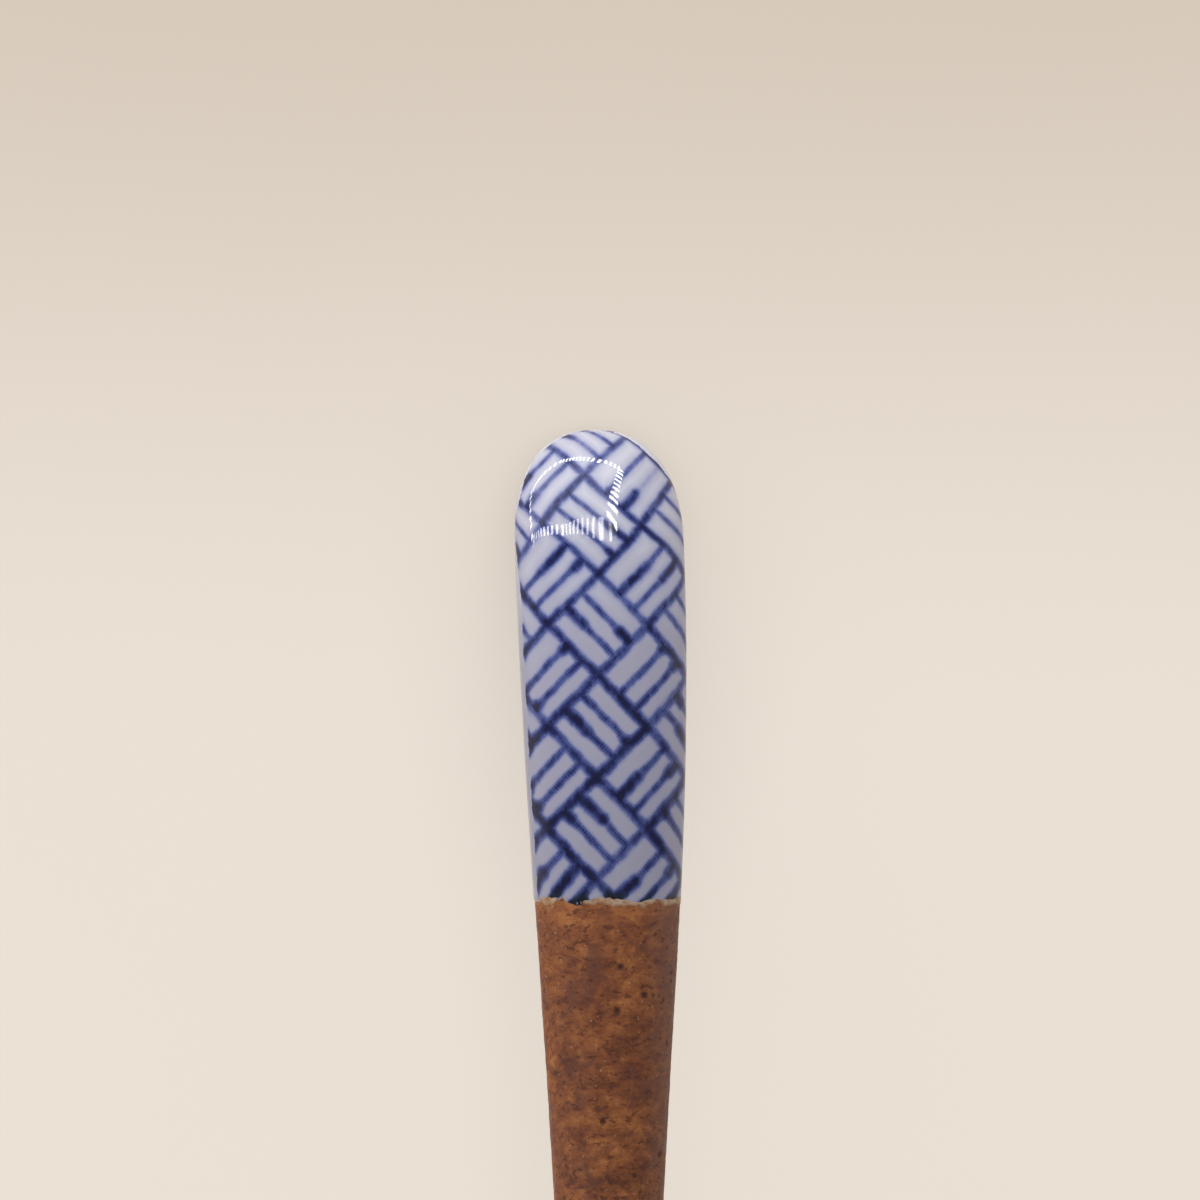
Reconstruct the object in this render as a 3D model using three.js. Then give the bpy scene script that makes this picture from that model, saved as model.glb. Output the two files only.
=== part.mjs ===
// A ceramic spoon: one stoneware body, bare along the shank, with a coat of white slip and
// a coat of glaze over the bowl and over the handle's end.
// Millimetres, +Z up. The spoon lies on the foot of its bowl and on its handle's end, with
// the handle towards +Y. The origin is on the table, under the middle of the spoon.
import * as THREE from "three";

// Plan
const OVERALL_LENGTH = 175;
const BOWL_WIDTH = 43;
const BOWL_FRONT = 35; // front of the rim to the bowl's widest place
const BOWL_FULLNESS = 2.1; // exponent of the front outline, where 2 is an ellipse
const SHOULDER_LENGTH = 50; // the bowl's widest place to the neck
const NECK_WIDTH = 7.6;
const GRIP_WIDTH = 14.5;
const END_LENGTH = 9.7; // the grip's widest place to the tip
const END_FULLNESS = 2.3; // exponent of the end's outline

// How far each place's direction, straight along the spoon, holds before the outline turns
const SHOULDER_FROM_BOWL = 27;
const SHOULDER_FROM_NECK = 23;
const SHANK_FROM_NECK = 24;
const SHANK_FROM_GRIP = 27;

// Bowl
const CAVITY_DEPTH = 11;
const BOWL_WALL = 3.1; // at the foot
const RIM_THICKNESS = 2.7;
const RIM_WIDTH = 2.1; // outline to the cavity's edge
const RIM_ROUND = 1.5;
const CAVITY_REAR = 29; // the bowl's widest place to the cavity's rear edge
const CAVITY_SOFTNESS = 0.06; // rounding of the cavity's edge, as a share of its depth
const KEEL_LENGTH = 44; // the bowl's widest place to where the belly has run out into the neck
const NOSE_LIFT = 1.2; // rise of the rim's front above the bowl's widest place
const FOOT_CUT = 1; // depth of the round belly that the flat foot takes off

// Handle
const HANDLE_THICKNESS = 7.6;
const TOP_CROWN = 0.6;
const BACK_CROWN = 0.9;
const EDGE_FULLNESS = 2.4; // exponent of a rounded edge's section, where 2 is an ellipse
const ROUND_SHARE = 0.95; // share of the handle's half-width that its rounded edge takes
const CREST_HEIGHT = 18; // top of the handle at its highest place
const CREST_FROM_TIP = 66;
const RISE_FROM_WIDEST = 18; // the bowl's widest place to where the handle starts to rise
const DROOP_POWER = 2.6; // how late the handle turns down towards its tip
const REST_FROM_TIP = 1.8; // tip to the middle of the flat that it rests on
const REST_CUT = 0.3; // depth of the round tip that its resting flat takes off

// Coats
const GLAZE = 0.3;
const SLIP = 0.25;
const SEAT = 0.05; // clearance under and beside a coat
const SLIP_FRINGE = 0.5; // slip that shows past the glaze's edge
const HANDLE_COAT_LENGTH = 40.4; // tip to the slip's edge
const BOWL_COAT_LENGTH = 75; // front of the rim to the slip's edge, on the neck

// Facets
const ACROSS = 20; // on each face of a section
const ROUND_END = 11; // sections along a rounded end
const SHOULDER_SECTIONS = 10;
const SHANK_SECTIONS = 11;
const GRIP_SECTIONS = 7;
const OUTLINE_STEPS = 60; // steps along each stretch of the outline

// Places along the spoon
const Y_FRONT = -OVERALL_LENGTH / 2;
const Y_TIP = OVERALL_LENGTH / 2;
const Y_WIDEST = Y_FRONT + BOWL_FRONT;
const Y_NECK = Y_WIDEST + SHOULDER_LENGTH;
const Y_GRIP = Y_TIP - END_LENGTH;
const Y_CREST = Y_TIP - CREST_FROM_TIP;
const Y_BOWL_COAT = Y_FRONT + BOWL_COAT_LENGTH;
const Y_HANDLE_COAT = Y_TIP - HANDLE_COAT_LENGTH;

const { clamp, lerp, smoothstep } = THREE.MathUtils;

// Half-width of the outline
function roundedEnd(share, halfWidth, fullness) {
  return halfWidth * (1 - clamp(share, 0, 1) ** fullness) ** (1 / fullness);
}

// Half-width at y on a curve that leaves both of its ends straight along the spoon
function easedWidth(y, from, to) {
  const alongSpoon = (u) =>
    (1 - u) ** 3 * from.y +
    3 * (1 - u) ** 2 * u * (from.y + from.reach) +
    3 * (1 - u) * u ** 2 * (to.y - to.reach) +
    u ** 3 * to.y;
  let low = 0;
  let high = 1;
  while (high - low > 1e-9) {
    const middle = (low + high) / 2;
    if (alongSpoon(middle) < y) low = middle;
    else high = middle;
  }
  return lerp(from.halfWidth, to.halfWidth, low * low * (3 - 2 * low));
}

function halfWidth(y) {
  if (y <= Y_WIDEST) return roundedEnd((Y_WIDEST - y) / BOWL_FRONT, BOWL_WIDTH / 2, BOWL_FULLNESS);
  if (y >= Y_GRIP) return roundedEnd((y - Y_GRIP) / END_LENGTH, GRIP_WIDTH / 2, END_FULLNESS);
  if (y <= Y_NECK) {
    const bowl = { y: Y_WIDEST, halfWidth: BOWL_WIDTH / 2, reach: SHOULDER_FROM_BOWL };
    const neck = { y: Y_NECK, halfWidth: NECK_WIDTH / 2, reach: SHOULDER_FROM_NECK };
    return easedWidth(y, bowl, neck);
  }
  const neck = { y: Y_NECK, halfWidth: NECK_WIDTH / 2, reach: SHANK_FROM_NECK };
  const grip = { y: Y_GRIP, halfWidth: GRIP_WIDTH / 2, reach: SHANK_FROM_GRIP };
  return easedWidth(y, neck, grip);
}

// Places along a stretch, evenly spaced, or closing up towards a rounded end
function even(from, to, count) {
  return Array.from({ length: count + 1 }, (_, i) => lerp(from, to, i / count));
}

function closingUp(widest, end, count) {
  return even(0, Math.PI / 2, count).map((angle) => widest + (end - widest) * Math.sin(angle));
}

// Plan distance from a point to the outline
const outlinePlaces = [
  ...closingUp(Y_WIDEST, Y_FRONT, OUTLINE_STEPS).reverse(),
  ...even(Y_WIDEST, Y_NECK, OUTLINE_STEPS),
  ...even(Y_NECK, Y_GRIP, OUTLINE_STEPS),
  ...closingUp(Y_GRIP, Y_TIP, OUTLINE_STEPS),
];
const outline = outlinePlaces.map((y) => new THREE.Vector3(halfWidth(y), y, 0));
const outlineEdges = outline.slice(1).map((point, i) => new THREE.Line3(outline[i], point));

function edgeDistance(x, y) {
  const point = new THREE.Vector3(Math.abs(x), y, 0);
  const nearest = new THREE.Vector3();
  const distances = outlineEdges.map((edge) =>
    edge.closestPointToPoint(point, true, nearest).distanceTo(point),
  );
  return Math.min(...distances);
}

// Heights along the spoon
const handleEdge = HANDLE_THICKNESS - TOP_CROWN - BACK_CROWN; // thickness of the sides, without the crowns
const rimHeight = BOWL_WALL + CAVITY_DEPTH;
const rimLine = rimHeight - RIM_THICKNESS / 2;
const crestLine = CREST_HEIGHT - TOP_CROWN - handleEdge / 2;
const bellyDepth = rimHeight - RIM_THICKNESS + FOOT_CUT;
const restShare = 1 - REST_FROM_TIP / CREST_FROM_TIP;
const restRound = rounding(REST_FROM_TIP, (ROUND_SHARE * GRIP_WIDTH) / 2);
const restThickness = (BACK_CROWN + handleEdge / 2) * restRound;
const restHeight = restThickness - REST_CUT;
const droop = (crestLine - restHeight) / restShare ** DROOP_POWER;

// Share of the full thickness that a rounded edge has at a distance from the outline
function rounding(distance, radius) {
  const short = 1 - Math.min(distance / radius, 1);
  return (1 - short ** EDGE_FULLNESS) ** (1 / EDGE_FULLNESS);
}

// 0 on the bowl and 1 on the handle
function handleShare(y) {
  return smoothstep(y, Y_WIDEST + RISE_FROM_WIDEST, Y_NECK);
}

// Height of the line halfway up the spoon's side
function sideLine(y) {
  const lift = NOSE_LIFT * (Math.max(0, Y_WIDEST - y) / BOWL_FRONT) ** 2;
  const rise = (crestLine - rimLine) * smoothstep(y, Y_WIDEST + RISE_FROM_WIDEST, Y_CREST);
  const fall = droop * (Math.max(0, y - Y_CREST) / CREST_FROM_TIP) ** DROOP_POWER;
  return rimLine + lift + rise - fall;
}

// A share that runs out to zero with a rounded corner
function softened(share) {
  const soft = (value) => value + Math.hypot(value, CAVITY_SOFTNESS);
  return soft(share) / soft(1);
}

function cavity(x, y) {
  const reach = y < Y_WIDEST ? BOWL_FRONT - RIM_WIDTH : CAVITY_REAR;
  const across = x / (BOWL_WIDTH / 2 - RIM_WIDTH);
  return CAVITY_DEPTH * softened(1 - across ** 2 - ((y - Y_WIDEST) / reach) ** 2);
}

function belly(y) {
  const reach = y < Y_WIDEST ? BOWL_FRONT : KEEL_LENGTH;
  return bellyDepth * softened(1 - ((y - Y_WIDEST) / reach) ** 2);
}

// Half the thickness of the spoon's side with a crown on it: the rim has a small rounded edge,
// and the handle is round over nearly its whole width
function sideThickness(x, y, crown) {
  const full = lerp(RIM_THICKNESS / 2, handleEdge / 2 + crown, handleShare(y));
  const radius = lerp(RIM_ROUND, ROUND_SHARE * halfWidth(Math.min(y, Y_GRIP)), handleShare(y));
  return full * rounding(edgeDistance(x, y), radius);
}

// One closed section of the finished spoon: its top from right to left, then its back
function section(y) {
  const half = halfWidth(y);
  if (half < SEAT) return [new THREE.Vector3(0, y, sideLine(y))];
  const points = [];
  for (let i = 0; i < 2 * ACROSS; i += 1) {
    const across = Math.cos((Math.PI * i) / ACROSS);
    const x = half * across;
    const crown = 1 - across * across;
    const top = sideLine(y) + sideThickness(x, y, TOP_CROWN * crown) - cavity(x, y);
    const back = sideLine(y) - sideThickness(x, y, BACK_CROWN * crown) - belly(y) * crown;
    points.push(new THREE.Vector3(x, y, i <= ACROSS ? top : Math.max(0, back)));
  }
  return points;
}

// Closed surface over sections in order, from one end point to another, where rising y faces out.
// Four-sided cells are split alike on the two sides and on coats that lie on each other.
function loft(sections) {
  const points = sections.flat();
  const index = [];
  let start = 0;
  for (let s = 1; s < sections.length; s += 1) {
    const next = start + sections[s - 1].length;
    const here = sections[s - 1].length;
    const there = sections[s].length;
    const rising = sections[s][0].y >= sections[s - 1][0].y;
    for (let i = 0; i < Math.max(here, there); i += 1) {
      const a = start + (i % here);
      const b = start + ((i + 1) % here);
      const c = next + (i % there);
      const d = next + ((i + 1) % there);
      const right = points[a].x + points[b].x + points[c].x + points[d].x > 0;
      const split = rising === right ? b : a;
      if (here > 1) index.push(a, split === b ? c : d, b);
      if (there > 1) index.push(split, c, d);
    }
    start = next;
  }
  const geometry = new THREE.BufferGeometry().setFromPoints(points);
  geometry.setIndex(index);
  geometry.computeVertexNormals();
  return geometry;
}

// Sections of the finished spoon: the coated bowl, the bare shank and the coated end
const bowlPlaces = [
  ...closingUp(Y_WIDEST, Y_FRONT, ROUND_END).reverse(),
  ...even(Y_WIDEST, Y_BOWL_COAT - SLIP_FRINGE - SEAT, SHOULDER_SECTIONS).slice(1),
  Y_BOWL_COAT - SLIP_FRINGE,
  Y_BOWL_COAT - SEAT,
];
const shankPlaces = even(Y_BOWL_COAT, Y_HANDLE_COAT, SHANK_SECTIONS);
const endPlaces = [
  Y_HANDLE_COAT + SEAT,
  Y_HANDLE_COAT + SLIP_FRINGE,
  ...even(Y_HANDLE_COAT + SLIP_FRINGE + SEAT, Y_GRIP, GRIP_SECTIONS),
  ...closingUp(Y_GRIP, Y_TIP, ROUND_END).slice(1),
];
const skin = [...bowlPlaces, ...shankPlaces, ...endPlaces].map(section);
const skinNormals = loft(skin).getAttribute("normal");

// The same sections, sunk below the finished surface
function sunk(depth) {
  let count = 0;
  return skin.map((points) =>
    points.map((point) => {
      const normal = new THREE.Vector3().fromBufferAttribute(skinNormals, count);
      count += 1;
      return point.clone().addScaledVector(normal, -depth);
    }),
  );
}

const glazeUnder = sunk(GLAZE);
const slipTop = sunk(GLAZE + SEAT);
const slipUnder = sunk(GLAZE + SEAT + SLIP);
const bodyTop = sunk(GLAZE + SEAT + SLIP + SEAT);

// The body: sunk under the coats, flush with them along the shank
const shankStart = bowlPlaces.length;
const shankEnd = shankStart + shankPlaces.length;
const bodySections = [
  ...bodyTop.slice(0, shankStart + 1),
  ...skin.slice(shankStart, shankEnd),
  ...bodyTop.slice(shankEnd - 1),
];

// Slip: under the glaze, with a flush fringe past the glaze's edge
const bowlSlip = loft([
  ...slipTop.slice(0, shankStart - 1),
  ...skin.slice(shankStart - 2, shankStart),
  ...slipUnder.slice(0, shankStart).reverse(),
]);
const endSlip = loft([
  ...slipUnder.slice(shankEnd).reverse(),
  ...skin.slice(shankEnd, shankEnd + 2),
  ...slipTop.slice(shankEnd + 1),
]);

// Glaze: the outermost coat
const bowlGlaze = loft([
  ...skin.slice(0, shankStart - 2),
  ...glazeUnder.slice(0, shankStart - 2).reverse(),
]);
const endGlaze = loft([...glazeUnder.slice(shankEnd + 2).reverse(), ...skin.slice(shankEnd + 2)]);

// Materials
const stoneware = new THREE.MeshStandardMaterial({ color: 0x734630, roughness: 0.75, metalness: 0 });
const slip = new THREE.MeshStandardMaterial({ color: 0xd8c4a4, roughness: 0.7, metalness: 0 });
const glaze = new THREE.MeshStandardMaterial({ color: 0xdcdce8, roughness: 0.1, metalness: 0 });

const spoon = new THREE.Group();

function add(name, geometry, material) {
  const mesh = new THREE.Mesh(geometry, material);
  mesh.name = name;
  spoon.add(mesh);
}

add("stoneware_body", loft(bodySections), stoneware);
add("bowl_slip", bowlSlip, slip);
add("bowl_glaze", bowlGlaze, glaze);
add("handle_end_slip", endSlip, slip);
add("handle_end_glaze", endGlaze, glaze);

export default spoon;
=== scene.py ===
# A ceramic spoon: bare brown stoneware along the shank, white glaze with a cobalt-blue basket
# weave on the handle's end and in the bowl, and patches of cream slip along the glaze's edges.
# Sizes are in millimetres up to where a mesh, a lamp or the camera is made.
import math

import bpy
import numpy as np
from mathutils import Matrix, Vector, noise


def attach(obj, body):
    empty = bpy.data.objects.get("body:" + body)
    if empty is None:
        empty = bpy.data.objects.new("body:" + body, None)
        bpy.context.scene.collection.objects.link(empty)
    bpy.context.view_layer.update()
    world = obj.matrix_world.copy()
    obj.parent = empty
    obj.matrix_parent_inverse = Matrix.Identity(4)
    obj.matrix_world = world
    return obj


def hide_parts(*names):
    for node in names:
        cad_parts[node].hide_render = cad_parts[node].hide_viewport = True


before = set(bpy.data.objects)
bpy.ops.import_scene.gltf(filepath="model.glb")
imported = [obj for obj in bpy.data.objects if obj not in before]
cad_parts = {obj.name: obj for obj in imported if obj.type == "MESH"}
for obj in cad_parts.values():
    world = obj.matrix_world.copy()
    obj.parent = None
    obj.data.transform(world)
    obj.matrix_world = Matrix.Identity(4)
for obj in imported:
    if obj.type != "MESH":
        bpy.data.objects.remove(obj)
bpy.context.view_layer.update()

MM = 0.001
TINY = 1e-6  # least distance that is divided by

# Plan
OVERALL_LENGTH = 175
BOWL_WIDTH = 43
BOWL_FRONT = 35
BOWL_FULLNESS = 2.1
SHOULDER_LENGTH = 50
NECK_WIDTH = 7.6
GRIP_WIDTH = 14.5
END_LENGTH = 9.7
END_FULLNESS = 2.3
SHOULDER_FROM_BOWL = 27
SHOULDER_FROM_NECK = 23
SHANK_FROM_NECK = 24
SHANK_FROM_GRIP = 27

# Bowl
CAVITY_DEPTH = 11
BOWL_WALL = 3.1
RIM_THICKNESS = 2.7
RIM_WIDTH = 2.1
RIM_ROUND = 1.5
CAVITY_REAR = 29
CAVITY_SOFTNESS = 0.06
KEEL_LENGTH = 44
NOSE_LIFT = 1.2
FOOT_CUT = 1

# Handle
HANDLE_THICKNESS = 7.6
TOP_CROWN = 0.6
BACK_CROWN = 0.9
CREST_HEIGHT = 18
CREST_FROM_TIP = 66
RISE_FROM_WIDEST = 18
DROOP_POWER = 2.6
REST_FROM_TIP = 1.8
REST_CUT = 0.3
EDGE_FULLNESS = 2.4  # exponent of a rounded edge's section, where 2 is an ellipse
ROUND_SHARE = 0.95  # share of the handle's half-width that its rounded edge takes

# Coats
GLAZE = 0.3
SLIP = 0.3
SLIP_FRINGE = 0.5  # slip that shows past the glaze, in patches
SLIP_PATCH = 2.2  # size of those patches
SLIP_TUCK = 0.25  # how far the slip draws back under the glaze between them
SLIP_GAPS = (-0.3, 0.1)  # noise below the first is such a gap, and above the second a patch
HANDLE_COAT_LENGTH = 40.4
BOWL_COAT_LENGTH = 75
BARE_DEPTH = 0.06  # bare clay below the glaze's surface
FRINGE_DEPTH = 0.03  # slip below the glaze's surface
EDGE_TAPER = 0.4  # length over which a coat's edge thins out
EDGE_DIP = 0.1  # depth of that edge, which buries it in the surface below
EDGE_WAVE = 0.36  # how far a coat's edge wanders
EDGE_LONG = 1.5  # size of its long waves and of its short ones
EDGE_SHORT = 0.4
EDGE_SHORT_SHARE = 0.5  # height of the short waves beside the long ones
EDGE_FADE = 4  # length over which the wandering dies out
RIPPLE = 0.012  # height and size of the waves in the glaze's surface
RIPPLE_SIZE = 3.5
ROUGHNESS = 0.012  # height and size of the grains in the slip's surface
ROUGHNESS_SIZE = 0.5
GLAZE_EDGE = 0.04  # thickness of the glaze at its edge, and the distance at which it is full
GLAZE_FULL_FROM = 2
SLIP_EDGE = 0.06  # the same for the slip
SLIP_FULL_FROM = 2.4
COVER_START = 1.2  # the clay sinks under a coat between these distances from its edge
COVER_END = 2.8
COVER_GAP = 0.05

# Clay
GRAIN = 0.03  # height and size of its grains, of its bumps and of its lumps
GRAIN_SIZE = 0.5
BUMP = 0.02
BUMP_SIZE = 1.6
LUMP = 0.05
LUMP_SIZE = 9
PIT_SPACING = 2.8
PIT_RADIUS = 0.4
PIT_DEPTH = 0.15
PIT_FLOOR = 0.4  # share of a pit's radius that is flat
MARKS_ACROSS = 0.65  # length of its marks along the handle, as a share of that across it
FLASH = 1.4  # length of the paler clay beside a coat

# Basket weave
BLOCK = 5.95  # side of one block of three strips
BLOCK_STRETCH = 1.02  # how much longer its other side is, down to the left
STRIP_FIRST = 0.35  # place of the first line inside a block, as a share of its side
STRIP_SHIFT = 0.05  # how much further in that line is in every other block
STRIP_STEP = 0.3  # from the first line to the second
BLOCK_LINE = 0.7  # width of the painted lines round a block
STRIP_LINE = 0.63  # width of the two lines inside a block
BLOT = 0.35  # how much wider those lines are at their dark end
RIB = 0.25  # spacing of the fine ribs across a line
STRIP_RIBS = 0.1  # how far they lighten a line inside a block, and one round it
BLOCK_RIBS = 0.05
JOIN = 0.35  # how far the ink of two lines adds up where they meet
CRISP = 2.3  # how steeply the ink falls off beside a line at the tip, and further down
SOFT = 1.8
NARROWING = 0.3  # how much narrower the lines are at the tip
HAND = 0.3  # unsteadiness of the lines in long waves, and the size of the waves
HAND_SIZE = 3.2
SHAKE = 0.05  # the same in short waves
SHAKE_SIZE = 0.55
BLEED = 2.0  # width of the faint blue that spreads into the glaze from a line, and its strength
BLEED_INK = 0.27
BLOCK_INK = (0.65, 1.15)  # least and most ink of a line round a block
STRIP_INK = (0.12, 0.78)  # ink of a broken line inside a block, and of a whole one
BROKEN = (0.03, 0.12)  # draws below the first break that line, and above the second leave it whole
DARK_INK = 1.2  # ink at its dark end
DARK_SHARE = 0.6  # share of its length that the dark end takes at most
DARK_FADE = (0.05, 0.25)  # shares of its length past that end between which it turns pale
POOL_INK = (0.75, 1.25)  # least and most ink in its thinner and thicker places, and in its speckle
SPECKLE_INK = (0.86, 1.1)
RIGHT_DRAW = 3.5  # keep the draws for the two sets of lines round the blocks apart
LEFT_DRAW = 7.5
INK_AT_TIP = 0.41  # darkness of the ink at the tip, and how much is added further down
INK_GAIN = 0.1
RAGGED = 0.5  # how far the edge of the painted part wanders
PAINT_EDGE = (-0.05, 0.15)  # places from that edge between which the paint sets in
EDGE_INK = 1.5  # how much darker it is along the edge, and where that fades
EDGE_INK_FADE = (0.2, 0.9)
WEAVE_TURN = math.radians(1.3)
WEAVE_ACROSS = -0.79  # a crossing of the lines, from the handle's middle
WEAVE_ALONG = 20.97  # the same crossing, from the tip
WEAVE_LEAN = 1.2  # how far the weave shifts to the left towards the tip
WEAVE_LEAN_FROM = 4.5  # distances from the tip between which it does
WEAVE_LEAN_TO = 11.5
WEAVE_MARGIN = 1.2  # plain glaze along the handle's left side, and at the tip
WEAVE_TIP_MARGIN = 0.3
WEAVE_MARGIN_FROM = 8  # distances from the tip between which the margin changes
WEAVE_MARGIN_TO = 15
WEAVE_RIGHT = 10  # the painted part's other edge, along the surface from the handle's middle
WEAVE_TOP = -2.86  # the line of the weave where the painted part ends, past that crossing
BOWL_PRINT = 0.84  # painted share of the hollow's width
THICK_AND_LIT_UP_TO = 5  # the glaze is white up to here from the tip, and thinner past the second place; its grey past there is partly thinner glaze and partly painted shade, for the handle lit less than its tip
THIN_AND_SHADED_FROM = 24
BOWL_THIN = 0.15  # how thin it is in the bowl, between 0 and 1

# Sizes of the marks in the finish
POOL_SIZE = 1.3  # places where the ink is thicker
SPECKLE_SIZE = 0.13
RAGGED_SIZE = 0.9  # of the painted part's edge
CLOUD_SIZE = 5  # greyer places in the glaze
DIMPLE_SIZE = 1.6
DIMPLE = 0.02  # height of the glaze's dimples
MOTTLE_SIZE = 1
PATCH_SIZE = 4.5
SMOKE_SIZE = 3.2
SPECK_SIZE = 0.45
SAND_SIZE = 0.4
FINE_SIZE = 0.16
CLAY_BUMP = 0.05  # height of the clay's finest grains
SHEEN_FROM = 2.2  # painted sheen: the clay is greyer and paler between these distances to the right of the middle, where the handle's right side catches a sheen
SHEEN_TO = 5.5
SLIP_SIZE = 0.6
SLIP_FADE_FROM = 0.2  # the clay shows through the slip less and less between these distances
SLIP_FADE_TO = 0.5
SLIP_BUMP_SIZE = 0.2
SLIP_BUMP = 0.04
FLOOR_CLOUD_SIZE = 50

# Strengths in the finish, from 0 to 1 where nothing else is said
CLOUD = 0.3
BURNT = 0.9  # of the ink's burnt ends, and the distances from the glaze's edge where they fade
BURNT_FADE = (0.3, 1.3)
WORN = 0.7  # of the worn glaze along its edge, its fade, and how ragged that is
WORN_FADE = (0.0, 0.4)
WORN_RAGGED = 0.8
GLAZE_ROUGHNESS = 0.025
GLAZE_IOR = 1.52
MOTTLE_TONE = 0.82  # what the clay's mottle, its patches and the paler clay add to its tone
PATCH_TONE = 0.36
FLASH_TONE = 0.05
TONE_SHIFT = 0.1  # what is taken off
SMOKE = 0.7
# strength of the painted sheen along the clay's right side
SHEEN = 0.65
SPECKS = 0.7
SAND = 0.5
CLAY_ROUGHNESS = (0.5, 0.68)  # in its darker patches, and in its lighter ones
SLIP_COVER = (-0.12, 0.06)  # added to the slip's tone along its edge, and further in
SLIP_ROUGHNESS = (0.6, 0.45)  # where it is thin, and where it is thick
FLOOR_ROUGHNESS = 0.9
FLOOR_SPECULAR = 0.1

# Facets
AROUND = 240  # points round the spoon, and round the glaze of its bowl
BOWL_AROUND = 224
OUTLINE_STEPS = 120
OUTLINE_TABLE = 2000
OUTLINE_BATCH = 4000  # points measured against the outline at a time
CLAY_STEP = 0.2
HIDDEN_STEP = 1.2
HIDDEN_ROUNDS = 30
EDGE_STEP = 0.12
EDGE_LENGTH = 3
GLAZE_STEP = 0.3
BOWL_STEP = 0.5
SLIP_STEP = 1.5
GLAZE_ROUNDS = 60
BOWL_ROUNDS = 80
SLIP_ROUNDS = 24
NOISE_SHIFT = 17.3  # from one draw of the noise to the next

# Colours, as red, green and blue up to 255
GLAZE_WHITE = (214, 218, 233)
GLAZE_SHADE = (174, 175, 199)
BLEED_BLUE = (158, 164, 204)
MIDDLE_BLUE = (88, 102, 168)
NAVY = (43, 51, 110)
DARK_NAVY = (20, 24, 66)
BURNT_INK = (20, 32, 34)
SLIP_CREAM = (196, 172, 152)
SLIP_TAN = (176, 134, 98)
CLAY_DARK = (104, 56, 38)
CLAY_BROWN = (138, 80, 48)
CLAY_LIGHT = (163, 99, 57)
CLAY_OCHRE = (192, 126, 73)
CLAY_SAND = (214, 178, 138)
CLAY_PURPLE = (108, 64, 52)
# colour of the painted sheen on the clay's right side
CLAY_SHEEN = (130, 92, 80)
CLAY_SPECK = (84, 42, 30)
CLAY_PIT = (86, 44, 30)
FLOOR_WARM = (222, 212, 201)
FLOOR_PALE = (252, 242, 230)
FLOOR_DEEP = (228, 214, 198)
WALLS = (232, 222, 212)
CEILING = (128, 127, 126)
LAMP_WHITE = (255, 252, 248)

# Stage
FLOOR_SIZE = 6000
FLOOR_GLOW = 0.78  # share of the floor's look that is plain colour
SHADE_REACH = 14  # painted shadow: how near the spoon the floor's glow darkens, and its strength where it is darkest
SHADE_LEAST = 0.65
SHADE_SAMPLES = 4
FLOOR_NEAR = 60  # the floor's glow is paler up to here along the spoon, and deeper past the second place, as painted shade on the floor further off
FLOOR_FAR = 135

# Room: pale walls under a darker ceiling
WALLS_UP_TO = 0.15  # height of a direction, from 0 level to 1 straight up
CEILING_FROM = 0.6

# Lamps: a frame of light strips past the tip with a dim panel in it, a small window and a roof
# window above the bowl, and a soft lamp on the left
FRAME_TILT = math.radians(60)  # from straight up, towards the tip's side
FRAME_DISTANCE = 85
FRAME_CORNERS = ((31, -20), (14, 28), (-32, 25), (-126, 2), (-118, -55), (-40, -46))  # right and up
FRAME_WIDTHS = (9, 6, 6, 14, 6, 6)  # of the strip from each corner to the next
FRAME_RADIANCES = (12, 5.5, 7.5, 9, 10.5, 13)  # and its mean brightness
FRAME_PITCHES = (5, 5, 10, 9, 10, 5)  # spacing of the small lights in it
LIGHT_EDGE = (-0.3, 0.7)  # where a light sets in on a wave along the strip
LIGHT_SHARES = (0.1, 2.1)  # brightness between the lights and on them, beside the mean
PANEL_RADIANCE = 1.1
LIT_FROM_TIP = 6  # the place on the handle's end that the frame faces
LIT_HEIGHT = 8
WINDOW_PLACE = Vector((-100, -60, 220))
WINDOW_LENGTH = 60
WINDOW_WIDTH = 25
WINDOW_RADIANCE = 8
ROOF_PLACE = Vector((60, -140, 240))
ROOF_LENGTH = 120
ROOF_WIDTH = 90
ROOF_RADIANCE = 4
SOFT_PLACE = Vector((-500, 100, 500))
SOFT_SIZE = 500
SOFT_RADIANCE = 1.05

# Camera: straight above the handle's end, leaning a little to the left
CAMERA_LEAN = math.radians(5.5)
CAMERA_DISTANCE = 450
VIEW_HEIGHT = 100.7  # of the scene, at the target
TARGET = Vector((-0.6, 72.85, 13))
SENSOR = 36

# Places along the spoon
Y_FRONT = -OVERALL_LENGTH / 2
Y_TIP = OVERALL_LENGTH / 2
Y_WIDEST = Y_FRONT + BOWL_FRONT
Y_NECK = Y_WIDEST + SHOULDER_LENGTH
Y_GRIP = Y_TIP - END_LENGTH
Y_CREST = Y_TIP - CREST_FROM_TIP
Y_RISE = Y_WIDEST + RISE_FROM_WIDEST
Y_BOWL_SLIP = Y_FRONT + BOWL_COAT_LENGTH
Y_BOWL_GLAZE = Y_BOWL_SLIP - SLIP_FRINGE
Y_HANDLE_SLIP = Y_TIP - HANDLE_COAT_LENGTH
Y_HANDLE_GLAZE = Y_HANDLE_SLIP + SLIP_FRINGE
Y_DOME = Y_TIP - GRIP_WIDTH / 2


def smoothstep(value, low, high):
    share = np.clip((value - low) / (high - low), 0, 1)
    return share * share * (3 - 2 * share)


# Half-width of the outline
def rounded_end(share, widest, fullness):
    return widest * (1 - np.clip(share, 0, 1) ** fullness) ** (1 / fullness)


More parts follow.
